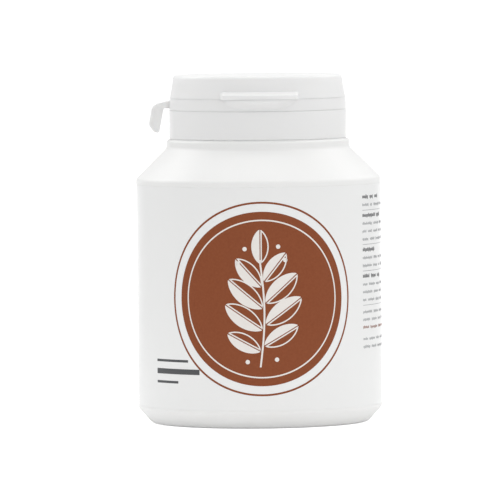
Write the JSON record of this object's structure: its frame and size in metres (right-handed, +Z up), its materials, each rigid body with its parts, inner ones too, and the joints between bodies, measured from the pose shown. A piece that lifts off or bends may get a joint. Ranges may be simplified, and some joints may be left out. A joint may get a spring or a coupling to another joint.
{
  "type": "flip-top tablet pot",
  "caption": "Round white plastic tablet pot with a sloped shoulder, a printed wrap label and a hinged flip-top cap with a pull-tab tear strip.",
  "frame": {"origin": "centre of the base, on the surface that the pot stands on", "axes": "+Z up along the pot's own axis; -Y is the front, where the thumb lip is; the hinge is at the back, at +Y; the pull tab hangs at -X"},
  "size_m": [0.0694, 0.0694, 0.099],
  "materials": {
    "bottle_plastic": "satin white blow-moulded polyethylene",
    "cap_plastic": "satin white injection-moulded polypropylene",
    "label_paper": "coated white label paper with a brown print"
  },
  "bodies": {
    "pot_body": {"pot": "bottle_plastic", "label": "label_paper", "cap_ring": "cap_plastic", "tear_strip": "cap_plastic"},
    "lid_body": {"lid": "cap_plastic"}
  },
  "joints": [
    {"name": "lid_hinge", "type": "hinge", "parent": "pot_body", "child": "lid_body", "pos_m": [0, 0.0249, 0.09185], "axis": [-1, 0, 0], "range_deg": [0, 160]}
  ]
}
